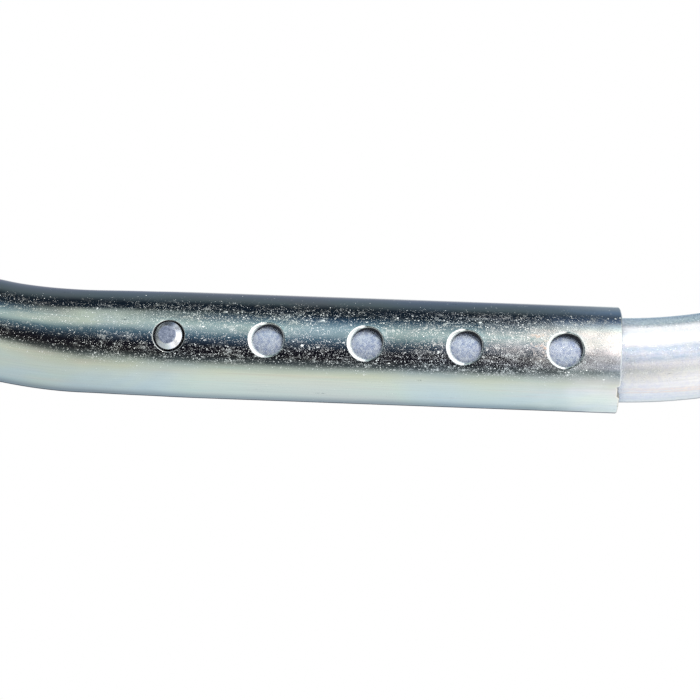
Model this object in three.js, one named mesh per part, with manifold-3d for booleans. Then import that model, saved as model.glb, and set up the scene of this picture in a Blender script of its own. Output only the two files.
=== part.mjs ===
// Telescopic C-shaped bar: two zinc-plated steel tubes, one inside the other, locked at the chosen
// length by a spring-loaded button, with a rubber tip on each end.
//
// Millimetres. +X runs along the straight section from the outer tube towards the inner tube, +Z is
// the way both arms bend, and the button and its row of holes face -Y. The origin is the bottom
// centre of the whole bar's box, so the straight section rests on Z = 0.
import * as THREE from "three";
import { mergeVertices } from "three/addons/utils/BufferGeometryUtils.js";
import Module from "manifold-3d";

// ---- driving dimensions, mm and degrees --------------------------------------------------------
const OUTER_OD = 27.2;
const OUTER_WALL = 2.1;
const INNER_OD = 22;
const INNER_WALL = 1.5;

const HOLE_COUNT = 5; // locking positions, the button sits in the innermost one at rest
const HOLE_PITCH = 25;
const HOLE_D = 7.8;
const HOLE_1_X = -50; // innermost hole, on the straight section
const MOUTH_X = 64; // open end of the outer tube
const INNER_HIDDEN_END_X = -75; // end of the inner tube inside the outer tube

// Each arm: first bend, straight, second bend, straight end piece.
const OUTER_ARM = { startX: -72, r1: 139, a1: 50, l1: 69.5, r2: 65, a2: 80, l2: 32 };
const INNER_ARM = { startX: 61.3, r1: 139, a1: 50, l1: 69.5, r2: 65, a2: 80, l2: 32 };

const BUTTON_LEAN = 7; // the pin stands square on its sloping spring leg, so it leans to -X
const BUTTON_R = 3.55;
const BUTTON_TOP_R = 2.1;
const BUTTON_TOP = 2.85; // flat top, from the middle of the outer wall
const BUTTON_CHAMFER_START = 1.2;
const BUTTON_FLANGE_R = 4.4;
const BUTTON_FLANGE_FACE = -4.6; // stop face inside the inner tube
const BUTTON_FLANGE_T = 0.8;
const BUTTON_STEM_R = 1.5;
const BUTTON_HEAD_R = 2.5; // peened end behind the spring leg
const BUTTON_HEAD_T = 0.8;
const INNER_HOLE_D = 8;

const CLIP_T = 0.8;
const CLIP_WIDTH = 9;
const CLIP_GAP = 0.15; // each side of the spring leg, along the pin
const CLIP_FRONT_LEG = 21.2; // from the pin back to the fold
const CLIP_FRONT_TIP = 4.6; // past the pin
const CLIP_FOLD_R = 2.4;
const CLIP_REAR_TIP = [-44.5, 7.5]; // x, y of the rear leg's end against the back wall
const CLIP_HOLE_R = 1.8;

const CAP_FIT = 0.2; // radial gap, rubber on tube
const OUTER_CAP = { r: 16.3, grip: 29, wall: 7, face: 11.5, lip: 15.1 };
const INNER_CAP = { r: 13.9, grip: 27, wall: 7, face: 9.5, lip: 12.7 };

const SEGMENTS = 32; // sides of each tube, with corners on its top, bottom, front and back
const BEND_STEP = 8; // degrees between rings in a bend

// ---- solids --------------------------------------------------------------------------------------
const wasm = await Module();
wasm.setup();

function solid(geometry) {
  const g = geometry.clone();
  g.deleteAttribute("normal");
  g.deleteAttribute("uv");
  const m = mergeVertices(g, 1e-4);
  return new wasm.Manifold(
    new wasm.Mesh({
      numProp: 3,
      vertProperties: new Float32Array(m.attributes.position.array),
      triVerts: new Uint32Array(m.index.array),
    }),
  );
}

function geometryOf(manifold) {
  const m = manifold.getMesh();
  const g = new THREE.BufferGeometry();
  g.setAttribute("position", new THREE.BufferAttribute(new Float32Array(m.vertProperties), 3));
  g.setIndex(new THREE.BufferAttribute(new Uint32Array(m.triVerts), 1));
  g.computeVertexNormals();
  return g;
}

// A closed cylinder of radius r from point a to point b.
function rod(r, a, b, sides = 32) {
  const axis = new THREE.Vector3().subVectors(b, a);
  const g = new THREE.CylinderGeometry(r, r, axis.length(), sides, 1);
  g.applyQuaternion(
    new THREE.Quaternion().setFromUnitVectors(new THREE.Vector3(0, 1, 0), axis.normalize()),
  );
  g.translate((a.x + b.x) / 2, (a.y + b.y) / 2, (a.z + b.z) / 2);
  return g;
}

// A centre line given by its stations, so that rings fall only where the tube needs them.
class StationPath extends THREE.Curve {
  constructor(stations) {
    super();
    this.stations = stations;
  }
  at(u) {
    return this.stations[Math.round(u * (this.stations.length - 1))];
  }
  getPoint(u) {
    return this.at(u).point.clone();
  }
  getPointAt(u) {
    return this.at(u).point.clone();
  }
  getTangentAt(u) {
    return this.at(u).tangent.clone();
  }
}

const AXIS_Z = OUTER_OD / 2;

// Stations of one tube's centre line: straight from fromX to the first bend, then its arm.
// dir is -1 for the arm on the -X side and +1 for the arm on the +X side. Both arms rise.
function armStations(arm, fromX, dir) {
  const stations = [];
  let x = fromX;
  let z = AXIS_Z;
  let heading = 0; // degrees risen from the straight section
  const put = () => {
    const h = THREE.MathUtils.degToRad(heading);
    stations.push({
      point: new THREE.Vector3(x, 0, z),
      tangent: new THREE.Vector3(dir * Math.cos(h), 0, Math.sin(h)),
    });
  };
  const bend = (radius, angle) => {
    const steps = Math.ceil(angle / BEND_STEP);
    const h0 = THREE.MathUtils.degToRad(heading);
    const x0 = x;
    const z0 = z;
    const start = heading;
    for (let i = 1; i <= steps; i++) {
      heading = start + (angle * i) / steps;
      const h = THREE.MathUtils.degToRad(heading);
      x = x0 + dir * radius * (Math.sin(h) - Math.sin(h0));
      z = z0 + radius * (Math.cos(h0) - Math.cos(h));
      put();
    }
  };
  const run = (length) => {
    const h = THREE.MathUtils.degToRad(heading);
    x += dir * length * Math.cos(h);
    z += length * Math.sin(h);
    put();
  };
  put();
  x = arm.startX;
  put();
  bend(arm.r1, arm.a1);
  run(arm.l1);
  bend(arm.r2, arm.a2);
  run(arm.l2);
  return stations;
}

function tube(stations, outerR, innerR) {
  const ring = new THREE.Shape();
  ring.absarc(0, 0, outerR, 0, Math.PI * 2, false);
  const bore = new THREE.Path();
  bore.absarc(0, 0, innerR, 0, Math.PI * 2, true);
  ring.holes.push(bore);
  return solid(
    new THREE.ExtrudeGeometry(ring, {
      steps: stations.length - 1,
      curveSegments: SEGMENTS / 2,
      extrudePath: new StationPath(stations),
    }),
  );
}

// ---- tubes ---------------------------------------------------------------------------------------
const outerR = OUTER_OD / 2;
const outerBoreR = outerR - OUTER_WALL;
const innerR = INNER_OD / 2;
const innerBoreR = innerR - INNER_WALL;

const outerStations = armStations(OUTER_ARM, MOUTH_X, -1);
const innerStations = armStations(INNER_ARM, INNER_HIDDEN_END_X, 1);

// The pin's axis: through the middle of the outer wall at hole 1, leaning to -X.
const lean = THREE.MathUtils.degToRad(BUTTON_LEAN);
const pinOut = new THREE.Vector3(-Math.sin(lean), -Math.cos(lean), 0);
const pinOrigin = new THREE.Vector3(HOLE_1_X, -(outerR + outerBoreR) / 2, AXIS_Z);
const alongPin = (t) => pinOrigin.clone().addScaledVector(pinOut, t);

let outerTube = tube(outerStations, outerR, outerBoreR);
for (let i = 0; i < HOLE_COUNT; i++) {
  const x = HOLE_1_X + i * HOLE_PITCH;
  outerTube = outerTube.subtract(
    solid(
      rod(
        HOLE_D / 2,
        new THREE.Vector3(x, -outerR - 3, AXIS_Z),
        new THREE.Vector3(x, -outerBoreR + 4, AXIS_Z),
      ),
    ),
  );
}

const innerWallMid = (innerR + innerBoreR) / 2;
const innerHoleX = alongPin((-innerWallMid - pinOrigin.y) / pinOut.y).x;
const innerTube = tube(innerStations, innerR, innerBoreR).subtract(
  solid(
    rod(
      INNER_HOLE_D / 2,
      new THREE.Vector3(innerHoleX, -innerR - 3, AXIS_Z),
      new THREE.Vector3(innerHoleX, -innerBoreR + 4, AXIS_Z),
    ),
  ),
);

// ---- lock button: a turned pin with a chamfered head, a stop flange, a stem and a peened end -----
const flangeBack = BUTTON_FLANGE_FACE - BUTTON_FLANGE_T;
const legFront = flangeBack - CLIP_GAP;
const legBack = legFront - CLIP_T;
const headFront = legBack - CLIP_GAP;
const headBack = headFront - BUTTON_HEAD_T;
const buttonProfile = [
  [0, headBack],
  [BUTTON_HEAD_R * 0.7, headBack],
  [BUTTON_HEAD_R, headBack + BUTTON_HEAD_T * 0.5],
  [BUTTON_HEAD_R, headFront],
  [BUTTON_STEM_R, headFront],
  [BUTTON_STEM_R, flangeBack],
  [BUTTON_FLANGE_R, flangeBack],
  [BUTTON_FLANGE_R, BUTTON_FLANGE_FACE],
  [BUTTON_R, BUTTON_FLANGE_FACE],
  [BUTTON_R, BUTTON_CHAMFER_START],
  [BUTTON_TOP_R + 0.25, BUTTON_TOP - 0.18],
  [BUTTON_TOP_R, BUTTON_TOP],
  [0, BUTTON_TOP],
].map(([r, t]) => new THREE.Vector2(r, t));
const buttonGeometry = new THREE.LatheGeometry(buttonProfile, 32);

// ---- spring clip: one strip folded into a narrow V inside the inner tube --------------------------
const legMid = (legFront + legBack) / 2;
const pinFoot = alongPin(legMid);
const legDir = new THREE.Vector2(Math.cos(lean), -Math.sin(lean)); // along the front leg, to +X
const frontTip = new THREE.Vector2(pinFoot.x, pinFoot.y).addScaledVector(legDir, CLIP_FRONT_TIP);
const frontEnd = new THREE.Vector2(pinFoot.x, pinFoot.y).addScaledVector(legDir, -CLIP_FRONT_LEG);
// The fold turns about foldCentre, on the rear (+Y) side of the front leg.
const foldCentre = new THREE.Vector2(
  frontEnd.x + Math.sin(lean) * CLIP_FOLD_R,
  frontEnd.y + Math.cos(lean) * CLIP_FOLD_R,
);
const rearTip = new THREE.Vector2(...CLIP_REAR_TIP);
// Direction of the rear leg, tangent to the fold circle and ending at rearTip.
const toTip = rearTip.clone().sub(foldCentre);
const rearAngle = Math.atan2(toTip.y, toTip.x) - Math.asin(CLIP_FOLD_R / toTip.length());
const foldStart = Math.atan2(frontEnd.y - foldCentre.y, frontEnd.x - foldCentre.x);
const foldEnd = rearAngle + Math.PI / 2;
let sweep = foldEnd - foldStart;
while (sweep > 0) sweep -= Math.PI * 2;
const clipLine = [frontTip];
const FOLD_STEPS = 8;
for (let i = 0; i <= FOLD_STEPS; i++) {
  const a = foldStart + (sweep * i) / FOLD_STEPS;
  clipLine.push(
    new THREE.Vector2(foldCentre.x + CLIP_FOLD_R * Math.cos(a), foldCentre.y + CLIP_FOLD_R * Math.sin(a)),
  );
}
clipLine.push(rearTip);

// Outline of a strip of thickness t along a line of points.
function stripShape(line, t) {
  const left = [];
  const right = [];
  line.forEach((p, i) => {
    const a = line[Math.max(i - 1, 0)];
    const b = line[Math.min(i + 1, line.length - 1)];
    const before = p.clone().sub(a);
    const after = b.clone().sub(p);
    if (before.lengthSq() === 0) before.copy(after);
    if (after.lengthSq() === 0) after.copy(before);
    before.normalize();
    after.normalize();
    const mid = before.clone().add(after).normalize();
    const n = new THREE.Vector2(-mid.y, mid.x);
    const stretch = 1 / Math.max(0.5, mid.dot(before));
    left.push(p.clone().addScaledVector(n, (t / 2) * stretch));
    right.push(p.clone().addScaledVector(n, (-t / 2) * stretch));
  });
  return new THREE.Shape([...left, ...right.reverse()]);
}
const clipGeometry = new THREE.ExtrudeGeometry(stripShape(clipLine, CLIP_T), {
  depth: CLIP_WIDTH,
  bevelEnabled: false,
});
clipGeometry.translate(0, 0, AXIS_Z - CLIP_WIDTH / 2);
const springClip = solid(clipGeometry).subtract(
  solid(rod(CLIP_HOLE_R, alongPin(legFront + 1), alongPin(legBack - 1), 24)),
);

// ---- rubber tips: closed-end ferrules with a flat face, pushed over the tube ends -----------------
function capGeometry(cap, tubeR) {
  const bore = tubeR + CAP_FIT;
  const rise = cap.wall; // solid rubber past the tube's end
  const round = cap.r - cap.face;
  const profile = [
    [0, 0.3],
    [bore, 0.3],
    [bore, -cap.grip],
    [cap.lip, -cap.grip],
    [cap.r, -cap.grip + 2.2],
    [cap.r, rise - round * 0.62],
    [cap.r - round * 0.13, rise - round * 0.35],
    [cap.r - round * 0.42, rise - round * 0.1],
    [cap.face, rise],
    [0, rise],
  ].map(([r, t]) => new THREE.Vector2(r, t));
  return new THREE.LatheGeometry(profile, SEGMENTS);
}

// ---- scene graph ---------------------------------------------------------------------------------
const zinc = (color) => new THREE.MeshStandardMaterial({ color, metalness: 0.9, roughness: 0.32 });
const named = (name, geometry, material) => {
  const mesh = new THREE.Mesh(geometry, material);
  mesh.name = name;
  return mesh;
};

const bar = new THREE.Group();
bar.add(named("outer_tube", geometryOf(outerTube), zinc(0xc3cdcc)));
bar.add(named("inner_tube", geometryOf(innerTube), zinc(0xd2d8dc)));

const button = named(
  "lock_button",
  buttonGeometry,
  new THREE.MeshStandardMaterial({ color: 0x8b9fb0, metalness: 0.85, roughness: 0.45 }),
);
button.position.copy(pinOrigin);
button.quaternion.setFromUnitVectors(new THREE.Vector3(0, 1, 0), pinOut);
bar.add(button);

bar.add(
  named(
    "spring_clip",
    geometryOf(springClip),
    new THREE.MeshStandardMaterial({ color: 0x565f68, metalness: 0.95, roughness: 0.3 }),
  ),
);

for (const [name, cap, stations, tubeR] of [
  ["outer_end_cap", OUTER_CAP, outerStations, outerR],
  ["inner_end_cap", INNER_CAP, innerStations, innerR],
]) {
  const end = stations[stations.length - 1];
  const mesh = named(
    name,
    capGeometry(cap, tubeR),
    new THREE.MeshStandardMaterial({ color: 0x1b1b1d, metalness: 0, roughness: 0.75 }),
  );
  mesh.position.copy(end.point);
  mesh.quaternion.setFromUnitVectors(new THREE.Vector3(0, 1, 0), end.tangent);
  bar.add(mesh);
}

// Origin at the bottom centre of the bar's box.
bar.updateMatrixWorld(true);
const box = new THREE.Box3().setFromObject(bar, true);
bar.position.set(-(box.min.x + box.max.x) / 2, 0, -box.min.z);
bar.updateMatrixWorld(true);

export default bar;
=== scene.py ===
import math

import bpy
import numpy as np
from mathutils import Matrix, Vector, noise


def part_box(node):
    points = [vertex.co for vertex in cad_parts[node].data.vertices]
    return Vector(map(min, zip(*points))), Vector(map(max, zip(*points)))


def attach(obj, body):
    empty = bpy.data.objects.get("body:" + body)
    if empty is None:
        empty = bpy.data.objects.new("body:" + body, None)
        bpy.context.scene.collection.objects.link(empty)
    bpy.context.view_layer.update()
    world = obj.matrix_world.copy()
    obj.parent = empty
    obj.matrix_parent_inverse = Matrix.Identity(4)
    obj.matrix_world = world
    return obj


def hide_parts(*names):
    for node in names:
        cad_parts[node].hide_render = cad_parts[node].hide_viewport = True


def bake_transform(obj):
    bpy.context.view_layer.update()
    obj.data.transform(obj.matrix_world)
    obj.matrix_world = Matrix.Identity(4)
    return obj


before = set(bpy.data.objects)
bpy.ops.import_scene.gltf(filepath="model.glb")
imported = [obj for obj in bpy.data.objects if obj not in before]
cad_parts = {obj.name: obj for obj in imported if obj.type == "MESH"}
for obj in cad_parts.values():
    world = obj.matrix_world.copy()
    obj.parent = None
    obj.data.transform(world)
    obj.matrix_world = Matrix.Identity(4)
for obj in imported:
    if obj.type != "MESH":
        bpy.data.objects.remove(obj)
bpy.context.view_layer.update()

MM = 0.001
RAD = math.pi / 180

# ---- dimensions that follow the CAD -----------------------------------------------------------------
MOUTH_X = 64.0
SHIFT_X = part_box("outer_tube")[1].x * 1000 - MOUTH_X  # where the CAD put the bar's box centre
AXIS_Z = 13.6
OUTER_R, OUTER_BORE = 13.6, 11.5
INNER_R, INNER_BORE = 11.0, 9.5
HOLES_X = [-50.0, -25.0, 0.0, 25.0, 50.0]
HOLE_R = 3.9
INNER_HOLE_R = 4.0
LEAN = 7 * RAD
PIN_Y = -(OUTER_R + OUTER_BORE) / 2
N_ROUND = 144

FRONT = np.array([0.0, -1.0, 0.0])


def smooth(a, b, x):
    t = min(1.0, max(0.0, (x - a) / (b - a)))
    return t * t * (3 - 2 * t)


# ---- centre lines ---------------------------------------------------------------------------------
class Line:
    """A tube's centre line in the XZ plane, by arc length: straight runs and arcs that rise."""

    def __init__(self, x0, direction, parts, most, table=None):
        self.dir = direction
        self.most, self.table = most, table
        self.pieces = []
        x, z, h, s = x0, AXIS_Z, 0.0, 0.0
        for kind, *v in parts:
            if kind == "run":
                self.pieces.append((s, s + v[0], "run", x, z, h, 0.0))
                x += direction * v[0] * math.cos(h)
                z += v[0] * math.sin(h)
                s += v[0]
            else:
                radius, a = v[0], v[1] * RAD
                self.pieces.append((s, s + radius * a, "arc", x, z, h, radius))
                x += direction * radius * (math.sin(h + a) - math.sin(h))
                z += radius * (math.cos(h) - math.cos(h + a))
                h += a
                s += radius * a
        self.length = s
        self.arcs = [(p[0], p[1]) for p in self.pieces if p[2] == "arc"]

    def at(self, s):
        """Point, direction of the inside of the bend, tangent, at arc length s."""
        for s0, s1, kind, x, z, h, radius in self.pieces:
            if s <= s1 + 1e-9 or s1 == self.length:
                break
        d = s - s0
        if kind == "run":
            px, pz, hh = x + self.dir * d * math.cos(h), z + d * math.sin(h), h
        else:
            hh = h + d / radius
            px = x + self.dir * radius * (math.sin(hh) - math.sin(h))
            pz = z + radius * (math.cos(h) - math.cos(hh))
        up = np.array([-self.dir * math.sin(hh), 0.0, math.cos(hh)])
        tangent = np.array([self.dir * math.cos(hh), 0.0, math.sin(hh)])
        return np.array([px, 0.0, pz]), up, tangent

    def flat(self, s, reach=26.0):
        """How much bending has narrowed the tube in the bend's plane here, as a share of its width."""
        k = self.most * max((1 - smooth(0, reach, max(a - s, s - b, 0.0))) for a, b in self.arcs)
        if self.table and s < self.table[-1][0]:
            xs, ys = zip(*self.table)
            k = float(np.interp(s, xs, ys))
        return k


def rows_between(a, b, step):
    n = max(1, int(round((b - a) / step)))
    return [a + (b - a) * i / n for i in range(n)]


# ---- mesh builder -----------------------------------------------------------------------------------
class Builder:
    def __init__(self):
        self.co, self.faces, self.tube, self.rim, self.normal, self.wall = [], [], [], [], [], []

    def vert(self, co, tube, rim=0.0, normal=None, wall=0.0):
        self.co.append(co)
        self.tube.append(tube)
        self.rim.append(rim)
        self.wall.append(wall)
        self.normal.append((0.0, 0.0, 0.0) if normal is None else tuple(normal))
        return len(self.co) - 1

    def quad(self, a, b, c, d):
        face = [a]
        for v in (b, c, d):
            if v != face[-1] and v != face[0]:
                face.append(v)
        if len(face) > 2:
            self.faces.append(face)

    def ribbon(self, one, two):
        """Quads between two closed loops of the same length."""
        n = len(one)
        for i in range(n):
            self.quad(one[i], one[(i + 1) % n], two[(i + 1) % n], two[i])

    def make(self, name, shift=(SHIFT_X, 0.0, 0.0)):
        mesh = bpy.data.meshes.new(name)
        co = (np.array(self.co, float) + np.array(shift)) * MM
        mesh.from_pydata([tuple(c) for c in co], [], self.faces)
        mesh.validate(clean_customdata=False)
        import bmesh

        bm = bmesh.new()
        bm.from_mesh(mesh)
        bmesh.ops.recalc_face_normals(bm, faces=bm.faces[:])
        bm.to_mesh(mesh)
        bm.free()
        mesh.shade_smooth()
        a = mesh.attributes.new("tube", "FLOAT_VECTOR", "POINT")
        a.data.foreach_set("vector", np.array(self.tube, np.float32).ravel())
        a = mesh.attributes.new("rim", "FLOAT", "POINT")
        a.data.foreach_set("value", np.array(self.rim, np.float32))
        a = mesh.attributes.new("wall", "FLOAT", "POINT")
        a.data.foreach_set("value", np.array(self.wall, np.float32))
        normals = np.array(self.normal, float)
        if np.abs(normals).max() > 0:
            mesh.normals_split_custom_set_from_vertices([tuple(n) for n in normals])
        obj = bpy.data.objects.new(name, mesh)
        bpy.context.scene.collection.objects.link(obj)
        return obj


def wobble(seed, a, scale):
    """Smooth noise on a circle, about -1 to 1, the same on every run."""
    return noise.noise(Vector((math.cos(a) * scale + seed * 7.3, math.sin(a) * scale - seed * 3.1, seed * 1.7)))


def tube_mesh(name, line, r_out, r_in, rows, holes, end_cut=None, seam=True):
    """A whole bent tube: outer skin, bore, both ends and punched holes, as one closed surface.

    rows: arc lengths of the rings. holes: (row index of the first ring, row index of the last ring,
    columns each side, centre s, radius, rim radius, raggedness, seed)."""
    b = Builder()
    n_rows = len(rows)
    n = N_ROUND
    two_pi = 2 * math.pi
    gap_cells = {}
    for k, (i0, i1, half, *_rest) in enumerate(holes):
        for i in range(i0, i1 + 1):
            for j in range(-half, half + 1):
                if i0 < i < i1 and -half < j < half:
                    gap_cells[(i, j % n)] = True

    hole_centres = [(h[3], h[4], h[5]) for h in holes]

    def rim_amount(s, z, front):
        if not front:
            return 0.0
        best = 0.0
        for cs, r, f in hole_centres:
            d = math.hypot(s - cs, z) - (r + f)
            best = max(best, math.exp(-max(d, 0.0) / 0.9))
        return best

    def place(s, y_front, z_up, frame_at=None, flat=None):
        c, up, _t = frame_at or line.at(s)
        return c + FRONT * y_front + up * z_up

    def skin(s, theta, r, outer, frame_at=None, flat=None):
        f = line.flat(s) if flat is None else flat
        k_up, k_front = 1 - f, 1 + 0.4 * f
        c, up, _t = frame_at or line.at(s)
        rr = r
        if seam and not outer:
            d = abs(((theta - math.pi + math.pi) % two_pi) - math.pi)
            rr = r - 0.28 * math.exp(-((d / (3.2 * RAD)) ** 2))
        yf, zu = rr * math.cos(theta) * k_front, rr * math.sin(theta) * k_up
        nrm = FRONT * (math.cos(theta) * k_up) + up * (math.sin(theta) * k_front)
        nrm = nrm / np.linalg.norm(nrm)
        if not outer:
            nrm = -nrm
        return c + FRONT * yf + up * zu, nrm

    def cut_shift(s, theta):
        if end_cut is None or s > 6.0:
            return 0.0
        return end_cut(theta) * (1 - smooth(0.0, 6.0, s))

    grids = []
    for outer, r in ((True, r_out), (False, r_in)):
        grid = {}
        for i, s in enumerate(rows):
            frame_at, flat = line.at(s), line.flat(s)
            for j in range(n):
                if (i, j) in gap_cells:
                    continue
                theta = two_pi * j / n
                ds = cut_shift(s, theta)
                if ds:
                    p, nrm = skin(s + ds, theta, r, outer)
                else:
                    p, nrm = skin(s, theta, r, outer, frame_at, flat)
                front = math.cos(theta) > 0
                z = r * math.sin(theta)
                grid[(i, j)] = b.vert(
                    p, (s + ds, r * math.cos(theta), z), rim_amount(s, z, front) if outer else 0.0,
                    nrm if (outer or not seam) else None,
                )
        for i in range(n_rows - 1):
            for j in range(n):
                quad = [(i, j), (i, (j + 1) % n), (i + 1, (j + 1) % n), (i + 1, j)]
                inside = False
                for i0, i1, half, *_rest in holes:
                    jj = j if j < n / 2 else j - n
                    if i0 <= i < i1 and -half <= jj < half:
                        inside = True
                if not inside:
                    b.quad(*[grid[q] for q in quad])
        grids.append(grid)

    # Ends: a small round on each edge, and a flat cut face between them; the cut face and the inner round carry 0.45 in
    # 'wall', painted shade.
    for row, sign in ((0, 1), (n_rows - 1, -1)):
        f_out, f_in = (0.34, 0.3) if row == 0 else (0.2, 0.2)
        s_end = rows[row] - sign * f_out
        loops = [[grids[0][(row, j)] for j in range(n)]]
        steps = 4

        def ring(s, r, outer_like):
            loop = []
            for j in range(n):
                theta = two_pi * j / n
                ds = cut_shift(max(s, 0.0), theta)
                p, _n = skin(s + ds, theta, r, True)
                loop.append(b.vert(p, (s + ds, r * math.cos(theta), r * math.sin(theta)), 0.1, None, 0.45 if r < r_out - 0.25 else 0.0))
            return loop

        for k in range(1, steps + 1):
            a = k / steps * math.pi / 2
            loops.append(ring(rows[row] - sign * f_out * math.sin(a), r_out - f_out * (1 - math.cos(a)), True))
        loops.append(ring(s_end, (r_out + r_in) / 2, True))
        for k in range(steps + 1):
            a = (1 - k / steps) * math.pi / 2
            s_k = rows[row] - sign * (f_out - f_in + f_in * math.sin(a))
            loops.append(ring(s_k, r_in + f_in * (1 - math.cos(a)), True))
        loops.append([grids[1][(row, j)] for j in range(n)])
        for one, two in zip(loops, loops[1:]):
            b.ribbon(one, two)

    # Punched holes.
    for i0, i1, half, cs, radius, round_r, ragged, seed, roll in holes:
        edge = [(i0, j) for j in range(-half, half)]
        edge += [(i, half) for i in range(i0, i1)]
        edge += [(i1, j) for j in range(half, -half, -1)]
        edge += [(i, -half) for i in range(i1, i0, -1)]
        count = len(edge)
        angles = []
        for i, j in edge:
            theta = two_pi * j / n
            angles.append(math.atan2(theta * r_out, rows[i] - cs))
        # even the spacing out a little, so that the circle's points aren't bunched
        even = np.unwrap(np.array(angles))
        direction = 1 if even[-1] > even[0] else -1
        uniform = even[0] + direction * two_pi * np.arange(count) / count
        offset = float(np.mean(even - uniform))
        angles = 0.45 * even + 0.55 * (uniform + offset)

        def radius_at(a):
            r = radius * (1 + 0.006 * wobble(seed, a, 1.6)) + ragged * (
                0.65 * wobble(seed + 11, a, 3.0) + 0.6 * abs(wobble(seed + 23, a, 9.0)) - 0.1
            )
            return r

        def round_at(a):
            return round_r * (1 + roll * math.cos(a + 0.35) + 0.14 * wobble(seed + 5, a, 1.3)) + ragged * 0.5 * wobble(seed + 31, a, 6.0)

        def taper(a):
            if seed in (1, 9):
                return 0.0
            return (0.42 if seed == 5 else 0.30) * max(0.0, math.cos(a - 130 * RAD))

        def straight(s_, y_, z_):
            c, u, _ = line.at(s_)
            return c + FRONT * y_ + u * z_

        loops_by_skin = []
        for outer, r, grid in ((True, r_out, grids[0]), (False, r_in, grids[1])):
            loop0 = [grid[(i, j % n)] for i, j in edge]
            loops = [loop0]
            ease = [0.2, 0.4, 0.58, 0.74, 0.88]
            circle = []
            for a in angles:
                rr = radius_at(a) + (round_at(a) if outer else 0.22 - taper(a))
                ds, z = rr * math.cos(a), rr * math.sin(a)
                circle.append((cs + ds, math.asin(z / r)))
            for t in ease:
                loop = []
                for (i, j), (c_s, c_t) in zip(edge, circle):
                    s_ = rows[i] + (c_s - rows[i]) * t
                    th = two_pi * j / n + (c_t - two_pi * j / n) * t
                    p, nrm = skin(s_, th, r, outer)
                    z = r * math.sin(th)
                    loop.append(b.vert(p, (s_, r * math.cos(th), z), rim_amount(s_, z, True) if outer else 0.0, nrm))
                loops.append(loop)
            loop = []
            for c_s, c_t in circle:
                p, nrm = skin(c_s, c_t, r, outer)
                loop.append(b.vert(p, (c_s, r * math.cos(c_t), r * math.sin(c_t)), 1.0 if outer else 0.0, nrm))
            loops.append(loop)
            # the rounded edge, from the skin down into the hole
            steps = 7 if outer else 3
            for k in range(1, steps + 1):
                phi = k / steps * math.pi / 2
                loop = []
                for a in angles:
                    f = round_at(a) if outer else 0.22
                    rho = radius_at(a) + f * (1 - math.sin(phi)) - (0.0 if outer else taper(a))
                    depth = f * (1 - math.cos(phi)) * (1.0 if outer else -1.0)
                    ds, z = rho * math.cos(a), rho * math.sin(a)
                    y_ = math.sqrt(r * r - z * z) - depth
                    # painted shadow: the rim's round is darkened through 'wall' from part way down, earliest at the
                    # upper right where the rim's shadow falls, and nearly from the top at hole 1 beside the button
                    shade = max(0.0, math.cos(a - 135 * RAD)) ** 1.5
                    start = 0.10 if seed == 1 else 0.70 - 0.56 * shade
                    dark = smooth(start, start + 0.34, k / steps) if outer else 1.0
                    # painted highlight: on the left of each rim, a little low, the round's 'rim' value rises above 1,
                    # which the zinc paints pale where the light catches it
                    painted_edge_highlight = 0.0 if seed in (1, 9) else max(0.0, math.cos(a + 15 * RAD)) ** 0.7 * (1 - smooth(0.55, 0.85, k / steps))
                    loop.append(b.vert(straight(cs + ds, y_, z), (cs + ds, y_, z), 1.0 + painted_edge_highlight if outer else 0.5, None, dark))
                loops.append(loop)
            for one, two in zip(loops, loops[1:]):
                b.ribbon(one, two)
            loops_by_skin.append(loops[-1])
        # the hole's wall between the skins gets 1 in 'wall': painted shade, turned near black by the zinc
        wall = [loops_by_skin[0]]
        for t in (0.33, 0.67):
            loop = []
            for k, a in enumerate(angles):
                p = (1 - t) * np.array(b.co[loops_by_skin[0][k]]) + t * np.array(b.co[loops_by_skin[1][k]])
                q = (1 - t) * np.array(b.tube[loops_by_skin[0][k]]) + t * np.array(b.tube[loops_by_skin[1][k]])
                loop.append(b.vert(p, tuple(q), 0.8, None, 1.0))
            wall.append(loop)
        wall.append(loops_by_skin[1])
        for one, two in zip(wall, wall[1:]):
            b.ribbon(one, two)
    return b.make(name)


def hole_rows(rows, centres, half_len, n_seg):
    """Rings for each hole patch, merged with the other rings of a straight run."""
    keep = []
    spans = []
    for c in centres:
        spans.append((c - half_len, c + half_len))
    for s in rows:
        if not any(a - 0.4 < s < z + 0.4 for a, z in spans):
            keep.append(s)
    for a, z in spans:
        keep += [a + (z - a) * k / n_seg for k in range(n_seg + 1)]
    keep = sorted(keep)
    index = []
    for a, z in spans:
        i0 = min(range(len(keep)), key=lambda i: abs(keep[i] - a))
        i1 = min(range(len(keep)), key=lambda i: abs(keep[i] - z))
        index.append((i0, i1))
    return keep, index


# ---- outer tube --------------------------------------------------------------------------------------
def outer_cut(theta):
    """The saw cut's edge, in mm short of square: a step and two nicks on the lower front."""
    t = math.degrees(((theta + math.pi) % (2 * math.pi)) - math.pi)
    # a shallow slot in the lower front, a small pit at each end of it, and a slightly low top
    slot = max(0.0, min(1.0, (-37.8 - t) / 1.8)) * max(0.0, min(1.0, (t + 54.0) / 1.8))
    d = 0.62 * slot
    d += 0.30 * math.exp(-(((t + 39.8) / 1.5) ** 2)) + 0.26 * math.exp(-(((t + 52.6) / 1.5) ** 2))
    d += 0.13 * max(0.0, min(1.0, (-53.0 - t) / 4.0)) * (1 - smooth(100, 165, -t))
    d += 0.42 * smooth(48, 84, t) * (1 - smooth(120, 165, t))
    d += 0.10 * noise.noise(Vector((math.cos(theta) * 5, math.sin(theta) * 5, 4.0)))
    d += 0.05 * noise.noise(Vector((math.cos(theta) * 16, math.sin(theta) * 16, 9.0)))
    return d


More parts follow.
